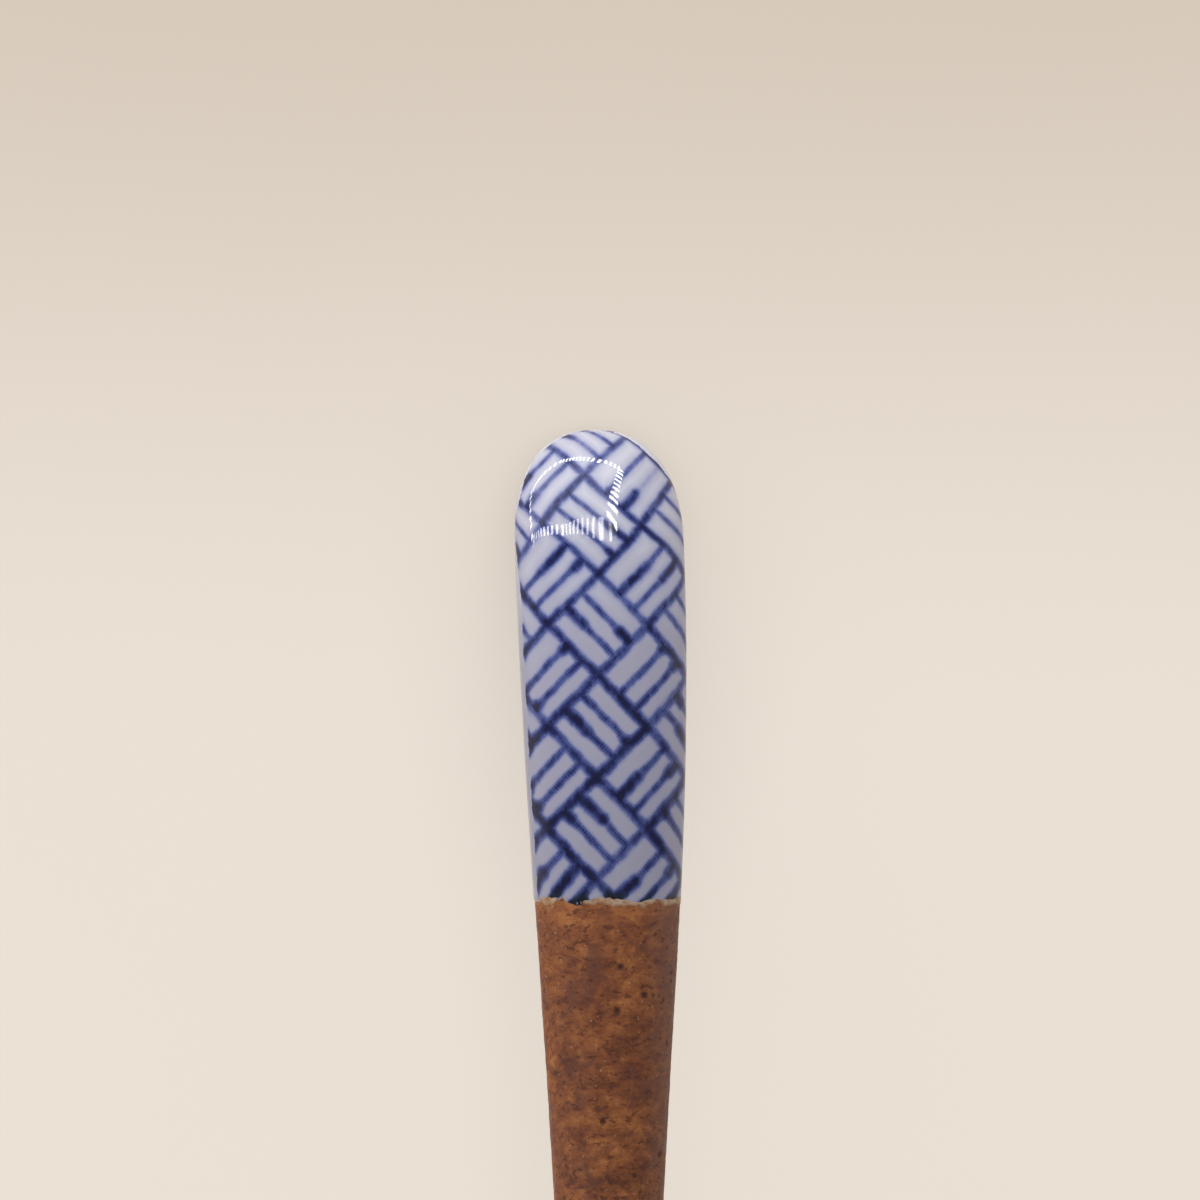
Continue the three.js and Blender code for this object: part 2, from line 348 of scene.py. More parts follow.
def eased_width(y, start, end):
    (start_y, start_half, start_reach), (end_y, end_half, end_reach) = start, end
    u = np.linspace(0, 1, OUTLINE_TABLE)
    along = (1 - u) ** 3 * start_y + 3 * (1 - u) ** 2 * u * (start_y + start_reach)
    along += 3 * (1 - u) * u**2 * (end_y - end_reach) + u**3 * end_y
    return np.interp(y, along, start_half + (end_half - start_half) * u * u * (3 - 2 * u))


def half_width(y):
    bowl = (Y_WIDEST, BOWL_WIDTH / 2, SHOULDER_FROM_BOWL)
    bowl_neck = (Y_NECK, NECK_WIDTH / 2, SHOULDER_FROM_NECK)
    shank_neck = (Y_NECK, NECK_WIDTH / 2, SHANK_FROM_NECK)
    grip = (Y_GRIP, GRIP_WIDTH / 2, SHANK_FROM_GRIP)
    front = rounded_end((Y_WIDEST - y) / BOWL_FRONT, BOWL_WIDTH / 2, BOWL_FULLNESS)
    shoulder = eased_width(y, bowl, bowl_neck)
    shank = eased_width(y, shank_neck, grip)
    end = rounded_end((y - Y_GRIP) / END_LENGTH, GRIP_WIDTH / 2, END_FULLNESS)
    return np.select([y <= Y_WIDEST, y <= Y_NECK, y < Y_GRIP], [front, shoulder, shank], end)


# Places that close up towards a rounded end
def closing_up(widest, end, count):
    return widest + (end - widest) * np.sin(np.linspace(0, math.pi / 2, count + 1))


def spaced(start, end, step):
    return np.linspace(start, end, round(abs(end - start) / step) + 1)


# Plan distance to the outline
outline_y = np.concatenate(
    [
        closing_up(Y_WIDEST, Y_FRONT, OUTLINE_STEPS)[:0:-1],
        np.linspace(Y_WIDEST, Y_NECK, OUTLINE_STEPS, endpoint=False),
        np.linspace(Y_NECK, Y_GRIP, OUTLINE_STEPS, endpoint=False),
        closing_up(Y_GRIP, Y_TIP, OUTLINE_STEPS),
    ]
)
outline = np.stack([half_width(outline_y), outline_y], 1)


def edge_distance(x, y):
    start = outline[:-1]
    step = outline[1:] - start
    length_squared = (step**2).sum(1)
    nearest = np.empty(x.size)
    for part in np.array_split(np.arange(x.size), x.size // OUTLINE_BATCH + 1):
        from_x = np.abs(x.flat[part])[:, None] - start[:, 0]
        from_y = y.flat[part][:, None] - start[:, 1]
        share = np.clip((from_x * step[:, 0] + from_y * step[:, 1]) / length_squared, 0, 1)
        gap = np.hypot(from_x - share * step[:, 0], from_y - share * step[:, 1])
        nearest[part] = gap.min(1)
    return nearest.reshape(x.shape)


# Heights
def rounding(distance, radius):
    short = 1 - np.minimum(distance / radius, 1)
    return (1 - short**EDGE_FULLNESS) ** (1 / EDGE_FULLNESS)


HANDLE_EDGE = HANDLE_THICKNESS - TOP_CROWN - BACK_CROWN
RIM_HEIGHT = BOWL_WALL + CAVITY_DEPTH
RIM_LINE = RIM_HEIGHT - RIM_THICKNESS / 2
CREST_LINE = CREST_HEIGHT - TOP_CROWN - HANDLE_EDGE / 2
BELLY_DEPTH = RIM_HEIGHT - RIM_THICKNESS + FOOT_CUT
REST_ROUND = rounding(REST_FROM_TIP, ROUND_SHARE * GRIP_WIDTH / 2)
REST_THICKNESS = (BACK_CROWN + HANDLE_EDGE / 2) * REST_ROUND
REST_SHARE = 1 - REST_FROM_TIP / CREST_FROM_TIP
DROOP = (CREST_LINE - REST_THICKNESS + REST_CUT) / REST_SHARE**DROOP_POWER


def handle_share(y):
    return smoothstep(y, Y_RISE, Y_NECK)


def side_line(y):
    lift = NOSE_LIFT * (np.maximum(0, Y_WIDEST - y) / BOWL_FRONT) ** 2
    rise = (CREST_LINE - RIM_LINE) * smoothstep(y, Y_RISE, Y_CREST)
    fall = DROOP * (np.maximum(0, y - Y_CREST) / CREST_FROM_TIP) ** DROOP_POWER
    return RIM_LINE + lift + rise - fall


def softened(share):
    def soft(value):
        return value + np.hypot(value, CAVITY_SOFTNESS)

    return soft(share) / soft(1)


def hollow_reach(y):
    return np.where(y < Y_WIDEST, BOWL_FRONT - RIM_WIDTH, CAVITY_REAR)


def hollow_share(x, y):
    return (x / (BOWL_WIDTH / 2 - RIM_WIDTH)) ** 2 + ((y - Y_WIDEST) / hollow_reach(y)) ** 2


def belly(y):
    reach = np.where(y < Y_WIDEST, BOWL_FRONT, KEEL_LENGTH)
    return BELLY_DEPTH * softened(1 - ((y - Y_WIDEST) / reach) ** 2)


def side_thickness(y, gap, crown):
    share = handle_share(y)
    full = RIM_THICKNESS / 2 * (1 - share) + (HANDLE_EDGE / 2 + crown) * share
    radius = RIM_ROUND * (1 - share) + ROUND_SHARE * half_width(np.minimum(y, Y_GRIP)) * share
    return full * rounding(gap, radius)


def angles(count):
    return 2 * math.pi * np.arange(count) / count


# The finished surface, as rings of points: right side, top, left side, back
def skin(y):
    angle = angles(y.shape[1])
    across = np.cos(angle) * np.ones_like(y)
    x = half_width(y) * across
    gap = edge_distance(x, y)
    gap[:, [0, y.shape[1] // 2]] = 0
    crown = 1 - across**2
    cavity = CAVITY_DEPTH * softened(1 - hollow_share(x, y)) * np.minimum(gap / RIM_ROUND, 1)
    top = side_line(y) + side_thickness(y, gap, TOP_CROWN * crown) - cavity
    back = side_line(y) - side_thickness(y, gap, BACK_CROWN * crown) - belly(y) * crown
    return np.stack([x, y, np.where(angle <= math.pi, top, np.maximum(0, back))], -1)


def outward(points):
    along = np.gradient(points, axis=0)
    around = np.roll(points, -1, axis=1) - np.roll(points, 1, axis=1)
    normal = np.cross(along, around)
    return normal / np.linalg.norm(normal, axis=-1, keepdims=True)


# Points sunk below the finished surface, and kept inside the spoon's two ends
def sunk(points, depth, turn=1):
    moved = points - turn * outward(points) * depth[..., None]
    moved[..., 1] = np.clip(moved[..., 1], Y_FRONT + depth, Y_TIP - depth)
    return moved


def noise_at(points, size, seed):
    moved = points.reshape(-1, 3) / size + NOISE_SHIFT * seed
    return np.array([noise.noise(Vector(place)) for place in moved]).reshape(points.shape[:-1])


# A closed mesh over rings of points, from one end point to the other
def closed_mesh(name, first, rings, last, fields):
    count = rings.shape[1]
    points = np.concatenate([[first], rings.reshape(-1, 3), [last]]) * MM
    index = 1 + np.arange(rings.shape[0] * count).reshape(-1, count)
    following = np.roll(index, -1, axis=1)
    quads = np.stack([index[:-1], index[1:], following[1:], following[:-1]], -1).reshape(-1, 4)
    end = np.full(count, len(points) - 1)
    start_fan = np.stack([np.zeros(count, int), index[0], following[0]], -1)
    end_fan = np.stack([index[-1], end, following[-1]], -1)
    mesh = bpy.data.meshes.new(name)
    mesh.from_pydata(points.tolist(), [], [*start_fan.tolist(), *quads.tolist(), *end_fan.tolist()])
    for field, values in fields.items():
        flat = values.reshape(-1, 3)
        flat = np.concatenate([flat[:1], flat, flat[-1:]]).astype(np.float32)
        mesh.attributes.new(field, "FLOAT_VECTOR", "POINT").data.foreach_set("vector", flat.ravel())
    mesh.shade_smooth()
    piece = bpy.data.objects.new(name, mesh)
    bpy.context.collection.objects.link(piece)
    return piece


def end_point(y, depth):
    inward = 1 if y < 0 else -1
    return np.array([0, y + inward * depth, side_line(np.array(y))])


# How far the edge of a coat draws back at each point round the spoon
def glaze_edge(edge, count, seed):
    ring = skin(np.full((1, count), float(edge)))
    short = EDGE_SHORT_SHARE * noise_at(ring, EDGE_SHORT, seed + 1)
    return EDGE_WAVE * (noise_at(ring, EDGE_LONG, seed) + short)


def slip_edge(edge, count, seed):
    ring = skin(np.full((1, count), float(edge)))
    patches = smoothstep(noise_at(ring, SLIP_PATCH, seed), *SLIP_GAPS)
    ragged = EDGE_WAVE * EDGE_SHORT_SHARE * noise_at(ring, EDGE_SHORT, seed + 1)
    return (SLIP_FRINGE + SLIP_TUCK) * (1 - patches) + ragged


# One coat over an end of the spoon, from its wandering edge: an outer face and an inner face
def coat(name, end, edge, rows, drawn_back, outer, inner, fields):
    inward = 1 if end > edge else -1
    inside = np.abs(rows - edge)[:, None]
    points = skin(rows[:, None] + inward * drawn_back * (1 - smoothstep(inside, 0, EDGE_FADE)))
    face_depth, under_depth = outer(inside, points), inner(inside)
    face, under = sunk(points, face_depth, inward), sunk(points, under_depth, inward)
    face_end, under_end = end_point(end, face_depth[-1].min()), end_point(end, under_depth[-1].min())
    made = fields(points, inside)
    values = {field: np.concatenate([value[::-1], value]) for field, value in made.items()}
    if inward > 0:
        return closed_mesh(name, under_end, np.concatenate([under[::-1], face]), face_end, values)
    return closed_mesh(name, face_end, np.concatenate([face[::-1], under]), under_end, values)


def glaze_outer(inside, points):
    ripple = RIPPLE * (1 - noise_at(points, RIPPLE_SIZE, seed=5))
    return ripple + EDGE_DIP * (1 - smoothstep(inside, 0, EDGE_TAPER))


def glaze_inner(inside):
    thin = EDGE_DIP + GLAZE_EDGE
    return thin + (GLAZE - thin) * smoothstep(inside, EDGE_TAPER, GLAZE_FULL_FROM)


def slip_outer(inside, points):
    covered = smoothstep(inside, SLIP_FRINGE + EDGE_TAPER, SLIP_FULL_FROM)
    rough = ROUGHNESS * noise_at(points, ROUGHNESS_SIZE, seed=9)
    dip = EDGE_DIP * (1 - smoothstep(inside, 0, EDGE_TAPER))
    return FRINGE_DEPTH + rough + dip + GLAZE * covered


def slip_inner(inside):
    thin = EDGE_DIP + SLIP_EDGE
    return thin + (GLAZE + SLIP - thin) * smoothstep(inside, EDGE_TAPER, SLIP_FULL_FROM)


# Counts of blocks along the two directions of the weave
def lattice(across, along):
    turn = math.pi / 4 + WEAVE_TURN
    right = (across * math.cos(turn) + along * math.sin(turn)) * (1 / BLOCK)
    left = (along * math.cos(turn) - across * math.sin(turn)) * (1 / (BLOCK * BLOCK_STRETCH))
    return right, left


# Where each point lies on the painted weave: across, along, and how far inside the painted part
def handle_weave(points, inside):
    x, y = points[..., 0], points[..., 1]
    count = points.shape[1]
    steps = np.linalg.norm(np.diff(points, axis=1), axis=-1)
    arc = np.concatenate([np.zeros((len(points), 1)), np.cumsum(steps, axis=1)], axis=1)
    across = arc[:, [count // 4]] - arc
    dome = skin(np.full((1, count), Y_DOME))[0, : count // 4 + 1]
    dome_arc = np.concatenate([[0], np.cumsum(np.linalg.norm(np.diff(dome[::-1], axis=0), axis=1))])
    from_dome = np.hypot(x, np.maximum(y - Y_DOME, TINY))
    stretch = np.interp(from_dome, dome[::-1, 0], dome_arc) / from_dome
    on_top = angles(count) <= math.pi
    domed = (y > Y_DOME) & on_top
    across = np.where(domed, x * stretch, across)
    along = np.where(domed, Y_TIP - Y_DOME - (y - Y_DOME) * stretch, Y_TIP - y)
    _, down_left = lattice(across - WEAVE_ACROSS, along - WEAVE_ALONG)
    margin_share = smoothstep(Y_TIP - y, WEAVE_MARGIN_FROM, WEAVE_MARGIN_TO)
    margin = WEAVE_TIP_MARGIN + (WEAVE_MARGIN - WEAVE_TIP_MARGIN) * margin_share
    left_edge = across[:, [count // 2]] + margin
    top_edge = (down_left - WEAVE_TOP) * BLOCK
    painted = np.minimum.reduce([across - left_edge, WEAVE_RIGHT - across, top_edge])
    painted = np.where(on_top | (y < Y_DOME), painted, -WEAVE_RIGHT)
    lean = WEAVE_LEAN * (1 - smoothstep(Y_TIP - y, WEAVE_LEAN_FROM, WEAVE_LEAN_TO))
    # thinner glaze down the handle, and painted shade with it
    thin = smoothstep(Y_TIP - y, THICK_AND_LIT_UP_TO, THIN_AND_SHADED_FROM)
    return {
        "weave": np.stack([across + lean - WEAVE_ACROSS, along - WEAVE_ALONG, painted], -1),
        "coat": np.stack([np.broadcast_to(inside, x.shape), thin, np.zeros(x.shape)], -1),
    }


def bowl_weave(points, inside):
    x, y = points[..., 0], points[..., 1] - Y_WIDEST
    share = hollow_share(x, points[..., 1])
    from_middle = np.maximum(np.hypot(x, y), TINY)
    stretch = 1 + 2 / 3 * (CAVITY_DEPTH * share / from_middle) ** 2
    painted = (BOWL_PRINT - np.sqrt(share)) * BOWL_WIDTH / 2
    painted = np.where(angles(points.shape[1]) <= math.pi, painted, -BOWL_WIDTH)
    thin = np.full(x.shape, BOWL_THIN)
    return {
        "weave": np.stack([x * stretch, -y * stretch, painted], -1),
        "coat": np.stack([np.broadcast_to(inside, x.shape), thin, np.zeros(x.shape)], -1),
    }


# How far each point lies inside the edge of its coat
def slip_place(points, inside):
    from_edge = np.broadcast_to(inside, points.shape[:-1])
    return {"coat": np.stack([from_edge, np.zeros(from_edge.shape), np.zeros(from_edge.shape)], -1)}


# The body: bare and rough along the shank, sunk under the coats
def bare_body():
    fine_start, fine_end = Y_BOWL_SLIP - EDGE_LENGTH, Y_HANDLE_SLIP + EDGE_LENGTH
    places = np.concatenate(
        [
            closing_up(Y_WIDEST, Y_FRONT, HIDDEN_ROUNDS)[-2::-1],
            spaced(Y_WIDEST, fine_start, HIDDEN_STEP)[1:],
            spaced(fine_start, fine_end, CLAY_STEP)[1:],
            spaced(fine_end, Y_GRIP, HIDDEN_STEP)[1:],
            closing_up(Y_GRIP, Y_TIP, HIDDEN_ROUNDS)[1:-1],
        ]
    )
    points = skin(np.repeat(places[:, None], AROUND, axis=1))
    from_coat = np.maximum(Y_BOWL_SLIP - points[..., 1], points[..., 1] - Y_HANDLE_SLIP)
    covered = smoothstep(from_coat, COVER_START, COVER_END)
    rows = (places > fine_start) & (places < fine_end)
    fine = points[rows]
    cells = [noise.voronoi(Vector(place))[0][0] for place in fine.reshape(-1, 3) / PIT_SPACING]
    from_pit = np.array(cells).reshape(fine.shape[:-1]) * PIT_SPACING
    pits = np.zeros(covered.shape)
    pits[rows] = 1 - smoothstep(from_pit, PIT_FLOOR * PIT_RADIUS, PIT_RADIUS)
    relief = np.zeros(covered.shape)
    relief[rows] = GRAIN * noise_at(fine, GRAIN_SIZE, seed=1) + BUMP * noise_at(fine, BUMP_SIZE, seed=3)
    relief[rows] += LUMP * (noise_at(fine, LUMP_SIZE, seed=2) - 1) - PIT_DEPTH * pits[rows]
    cover = GLAZE + SLIP + COVER_GAP
    depth = BARE_DEPTH + (cover - BARE_DEPTH) * covered
    rings = sunk(points, depth - relief * (1 - covered))
    flash = np.clip(1 + from_coat / FLASH, 0, 1)
    fields = {"clay": np.stack([pits, flash, np.zeros(pits.shape)], -1)}
    return closed_mesh("bare_clay", end_point(Y_FRONT, cover), rings, end_point(Y_TIP, cover), fields)


def coat_rows(edge, widest, end, step, rounds):
    near = edge + np.sign(end - edge) * spaced(0, EDGE_LENGTH, EDGE_STEP)
    return np.concatenate([near, spaced(near[-1], widest, step)[1:], closing_up(widest, end, rounds)[1:-1]])


clay = bare_body()
handle_slip = coat(
    "handle_slip_coat",
    Y_TIP,
    Y_HANDLE_SLIP,
    coat_rows(Y_HANDLE_SLIP, Y_GRIP, Y_TIP, SLIP_STEP, SLIP_ROUNDS),
    slip_edge(Y_HANDLE_SLIP, AROUND, seed=21),
    slip_outer,
    slip_inner,
    slip_place,
)
handle_glaze = coat(
    "handle_glaze_coat",
    Y_TIP,
    Y_HANDLE_GLAZE,
    coat_rows(Y_HANDLE_GLAZE, Y_GRIP, Y_TIP, GLAZE_STEP, GLAZE_ROUNDS),
    glaze_edge(Y_HANDLE_GLAZE, AROUND, seed=31),
    glaze_outer,
    glaze_inner,
    handle_weave,
)
bowl_slip = coat(
    "bowl_slip_coat",
    Y_FRONT,
    Y_BOWL_SLIP,
    coat_rows(Y_BOWL_SLIP, Y_WIDEST, Y_FRONT, SLIP_STEP, SLIP_ROUNDS),
    slip_edge(Y_BOWL_SLIP, AROUND, seed=41),
    slip_outer,
    slip_inner,
    slip_place,
)
bowl_glaze = coat(
    "bowl_glaze_coat",
    Y_FRONT,
    Y_BOWL_GLAZE,
    coat_rows(Y_BOWL_GLAZE, Y_WIDEST, Y_FRONT, BOWL_STEP, BOWL_ROUNDS),
    glaze_edge(Y_BOWL_GLAZE, BOWL_AROUND, seed=51),
    glaze_outer,
    glaze_inner,
    bowl_weave,
)


# Materials
def srgb(red, green, blue):
    def linear(value):
        value /= 255
        return value / 12.92 if value <= 0.04045 else ((value + 0.055) / 1.055) ** 2.4

    return linear(red), linear(green), linear(blue), 1


# A number that varies over a surface: arithmetic on it adds nodes to its material
class Field:
    def __init__(self, tree, socket):
        self.tree = tree
        self.socket = socket

    def node(self, kind, inputs, output=0, **settings):
        node = self.tree.nodes.new(kind)
        for key, value in settings.items():
            setattr(node, key, value)
        for key, value in inputs.items():
            if isinstance(value, Field):
                self.tree.links.new(value.socket, node.inputs[key])
            else:
                node.inputs[key].default_value = value
        return Field(self.tree, node.outputs[output])

    def math(self, operation, other=0):
        return self.node("ShaderNodeMath", {0: self, 1: other}, operation=operation)

    def __add__(self, other):
        return self.math("ADD", other)

    def __sub__(self, other):
        return self.math("SUBTRACT", other)

    def __mul__(self, other):
        return self.math("MULTIPLY", other)

    def __rsub__(self, other):
        return self.node("ShaderNodeMath", {0: other, 1: self}, operation="SUBTRACT")

    def least(self, other):
        return self.math("MINIMUM", other)

    def most(self, other):
        return self.math("MAXIMUM", other)

    def floor(self):
        return self.math("FLOOR")

    def fraction(self):
        return self.math("FRACT")

    def size(self):
        return self.math("ABSOLUTE")

    def under(self, other):
        return self.math("LESS_THAN", other)

    # From bottom at low and below to top at high and above
    def rise(self, low, high, bottom=0, top=1):
        inputs = {"Value": self, "From Min": low, "From Max": high, "To Min": bottom, "To Max": top}
        return self.node("ShaderNodeMapRange", inputs, interpolation_type="SMOOTHSTEP")

    # This field where share is 0, the other where it is 1
    def mixed(self, other, share):
        return self + (other - self) * share


def part_of(vector, axis):
    return vector.node("ShaderNodeSeparateXYZ", {0: vector}, axis)


def joined(x, y, z):
    return x.node("ShaderNodeCombineXYZ", {0: x, 1: y, 2: z})


def chance(x, y, z, output="Value"):
    return x.node("ShaderNodeTexWhiteNoise", {"Vector": joined(x, y, z)}, output, noise_dimensions="3D")


def grain(place, size, detail=2.0, output="Fac", roughness=0.55, swirl=0.0):
    inputs = {"Vector": place, "Scale": 1 / size, "Detail": detail}
    inputs |= {"Roughness": roughness, "Distortion": swirl}
    return place.node("ShaderNodeTexNoise", inputs, output)


def ramp(field, *stops):
    node = field.tree.nodes.new("ShaderNodeValToRGB")
    for _ in stops[2:]:
        node.color_ramp.elements.new(0.5)
    for element, (place, colour) in zip(node.color_ramp.elements, stops):
        element.position = place
        element.color = srgb(*colour)
    field.tree.links.new(field.socket, node.inputs[0])
    return Field(field.tree, node.outputs[0])


def blended(first, second, share):
    return share.node("ShaderNodeMix", {0: share, 6: first, 7: srgb(*second)}, 2, data_type="RGBA")


def new_material(name):
    material = bpy.data.materials.new(name)
    material.use_nodes = True
    tree = material.node_tree
    return material, tree, tree.nodes["Principled BSDF"]


def surface_place(tree):
    place = tree.nodes.new("ShaderNodeTexCoord")
    return Field(tree, place.outputs["Object"])


def attribute(tree, name):
    node = tree.nodes.new("ShaderNodeAttribute")
    node.attribute_name = name
    return Field(tree, node.outputs["Vector"])


def wire(shader, **fields):
    for socket, field in fields.items():
        field.tree.links.new(field.socket, shader.inputs[socket.replace("_", " ")])


def bumped(height, distance, strength):
    inputs = {"Height": height, "Distance": distance * MM, "Strength": strength}
    return height.node("ShaderNodeBump", inputs)


# Ink that a painted line leaves at a distance from its middle: 1 there and a half at its edge
def stroke(gap, width, steepness):
    return ((gap * (2 / width)).math("POWER", steepness) * -math.log(2)).math("EXPONENT")


# The fine ribs that a line shows along its run, counted in blocks
def ribs(run, depth):
    return (run * (2 * math.pi * BLOCK / RIB)).math("SINE") * depth + (1 - depth)


# Ink over the weave: about 1 on a line, and more where lines meet
def weave_ink(weave, narrow, steepness):
    hand = grain(weave, HAND_SIZE, 1.0, "Color")
    shake = grain(weave, SHAKE_SIZE, 1.0, "Color")
    across = part_of(weave, 0) + (part_of(hand, 0) - 0.5) * HAND + (part_of(shake, 0) - 0.5) * SHAKE
    along = part_of(weave, 1) + (part_of(hand, 1) - 0.5) * HAND + (part_of(shake, 1) - 0.5) * SHAKE
    right, left = lattice(across, along)
    column, row = right.floor(), left.floor()
    in_right, in_left = right.fraction(), left.fraction()
    turned = ((column + row) * 0.5).fraction() * 2
    crosswise = in_left.mixed(in_right, turned)
    lengthwise = in_right.mixed(in_left, turned)

    # Lines round the blocks
    right_line, left_line = (right + 0.5).floor(), (left + 0.5).floor()
    right_gap = (right - right_line).size() * narrow * BLOCK
    left_gap = (left - left_line).size() * narrow * BLOCK
    right_weight = chance(right_line, row, RIGHT_DRAW).rise(0, 1, *BLOCK_INK)
    left_weight = chance(column, left_line, LEFT_DRAW).rise(0, 1, *BLOCK_INK)
    right_ink = stroke(right_gap, BLOCK_LINE, steepness) * right_weight * ribs(left, BLOCK_RIBS)
    left_ink = stroke(left_gap, BLOCK_LINE, steepness) * left_weight * ribs(right, BLOCK_RIBS)

    # Two lines inside each block: dark from one end, ribbed and paler or broken to the other
    first = turned * STRIP_SHIFT + STRIP_FIRST
    strip = ((crosswise - first) * (1 / STRIP_STEP) + 1.5).floor().most(1.0).least(2.0)
    draw = chance(column, row, strip, "Color")
    weight, start, length = (part_of(draw, axis) for axis in range(3))
    run = lengthwise.mixed(1 - lengthwise, start.under(0.5))
    dark = (run - length * length * DARK_SHARE).rise(*DARK_FADE, 1, 0)
    widening = dark * -BLOT + (1 + BLOT / 2)
    strip_place = first + (strip - 1) * STRIP_STEP
    strip_gap = (crosswise - strip_place).size() * narrow * widening * BLOCK
    pale = weight.rise(*BROKEN, *STRIP_INK) * ribs(lengthwise, STRIP_RIBS)
    strip_ink = stroke(strip_gap, STRIP_LINE, steepness) * pale.most(dark * DARK_INK)

    nearest = right_gap.least(left_gap).least(strip_gap)
    bleed = stroke(nearest, BLEED, 2) * BLEED_INK
    pool = grain(weave, POOL_SIZE, 2.0).rise(0.35, 0.65, *POOL_INK)
    speckle = grain(weave, SPECKLE_SIZE, 1.0).rise(0.3, 0.7, *SPECKLE_INK)
    strongest = right_ink.most(left_ink).most(strip_ink)
    lines = strongest.mixed(right_ink + left_ink + strip_ink, JOIN)
    return lines * pool * speckle + bleed


def glaze_material():
    material, tree, shader = new_material("painted_glaze")
    place = surface_place(tree)
    weave = attribute(tree, "weave")
    coated = attribute(tree, "coat")
    edge, thin = part_of(coated, 0), part_of(coated, 1)
    ragged = grain(weave, RAGGED_SIZE, 2.0)
    inside = part_of(weave, 2) + (ragged - 0.5) * RAGGED
    narrow = (1 - thin) * NARROWING + 1
    steepness = thin * (SOFT - CRISP) + CRISP
    painted = weave_ink(weave, narrow, steepness)
    ink = painted * inside.rise(*EDGE_INK_FADE, EDGE_INK, 1) * inside.rise(*PAINT_EDGE)
    blue = ramp(
        ink * (thin * INK_GAIN + INK_AT_TIP),
        (0.01, GLAZE_WHITE),
        (0.14, BLEED_BLUE),
        (0.32, MIDDLE_BLUE),
        (0.54, NAVY),
        (0.76, DARK_NAVY),
    )
    cloud = grain(place, CLOUD_SIZE * MM, 2.0).rise(0.35, 0.7, 0, CLOUD)
    plain = ink.rise(0.1, 0.6, 1, 0)
    # the glaze turns greyer down the handle, partly for thinner glaze and partly as painted shade
    shaded = blended(blue, GLAZE_SHADE, (thin + cloud).least(1.0) * plain)
    burnt = blended(shaded, BURNT_INK, edge.rise(*BURNT_FADE, BURNT, 0) * ink.rise(0.4, 0.8))
    worn = (edge + (ragged - 0.5) * WORN_RAGGED).rise(*WORN_FADE, WORN, 0)
    wire(shader, Base_Color=blended(burnt, SLIP_CREAM, worn * plain))
    shader.inputs["Roughness"].default_value = GLAZE_ROUGHNESS
    shader.inputs["IOR"].default_value = GLAZE_IOR
    wire(shader, Normal=bumped(grain(place, DIMPLE_SIZE * MM, 2.0), DIMPLE, strength=0.25))
    return material


def clay_material():
    material, tree, shader = new_material("stoneware")
    place = surface_place(tree)
    marks = attribute(tree, "clay")
    pits, flash = part_of(marks, 0), part_of(marks, 1)
    drawn = place.node("ShaderNodeMapping", {"Vector": place, "Scale": (MARKS_ACROSS, 1, 1)})
    mottle = grain(drawn, MOTTLE_SIZE * MM, 6.0, roughness=0.8, swirl=0.25)
    patch = grain(place, PATCH_SIZE * MM, 3.0, swirl=0.8)
    tone = mottle * MOTTLE_TONE + patch * PATCH_TONE + flash * FLASH_TONE - TONE_SHIFT
    colour = ramp(
        tone,
        (0.36, CLAY_DARK),
        (0.46, CLAY_BROWN),
        (0.54, CLAY_LIGHT),
        (0.66, CLAY_OCHRE),
    )
    smoke = grain(place, SMOKE_SIZE * MM, 4.0, swirl=1.0).rise(0.54, 0.68, 0, SMOKE)
    # painted sheen: the clay turns greyer and paler towards the handle's right side
    painted_sheen = part_of(place, 0).rise(SHEEN_FROM * MM, SHEEN_TO * MM, 0, SHEEN)
    specks = grain(drawn, SPECK_SIZE * MM, 2.0).rise(0.58, 0.66, 0, SPECKS)
    sand = grain(place, SAND_SIZE * MM, 1.0).rise(0.72, 0.77, 0, SAND)
    sheened = blended(blended(colour, CLAY_PURPLE, smoke), CLAY_SHEEN, painted_sheen)
    sanded = blended(blended(sheened, CLAY_SPECK, specks), CLAY_SAND, sand)
    wire(shader, Base_Color=blended(sanded, CLAY_PIT, pits))
    wire(shader, Roughness=patch.rise(0.3, 0.7, *CLAY_ROUGHNESS))
    fine = grain(place, FINE_SIZE * MM, 2.0)
    wire(shader, Normal=bumped(fine + mottle, CLAY_BUMP, strength=0.6))
    return material


def slip_material():
    material, tree, shader = new_material("slip")
    place = surface_place(tree)
    edge = part_of(attribute(tree, "coat"), 0)
    cover = edge.rise(SLIP_FADE_FROM, SLIP_FADE_TO, *SLIP_COVER)
    tone = grain(place, SLIP_SIZE * MM, 3.0) + cover
    wire(shader, Base_Color=ramp(tone, (0.34, CLAY_LIGHT), (0.46, SLIP_TAN), (0.62, SLIP_CREAM)))
    wire(shader, Roughness=tone.rise(0.3, 0.7, *SLIP_ROUGHNESS))
    wire(shader, Normal=bumped(grain(place, SLIP_BUMP_SIZE * MM, 2.0), SLIP_BUMP, strength=0.5))
    return material


glaze_paint = glaze_material()
clay_paint = clay_material()
slip_paint = slip_material()

for piece, node, slot, material in (
    (clay, "stoneware_body", "stoneware", clay_paint),
    (handle_slip, "handle_end_slip", "slip", slip_paint),
    (handle_glaze, "handle_end_glaze", "glaze", glaze_paint),
    (bowl_slip, "bowl_slip", "slip", slip_paint),
    (bowl_glaze, "bowl_glaze", "glaze", glaze_paint),
):
    piece.data.materials.append(material)
    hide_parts(node)
    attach(piece, "root")


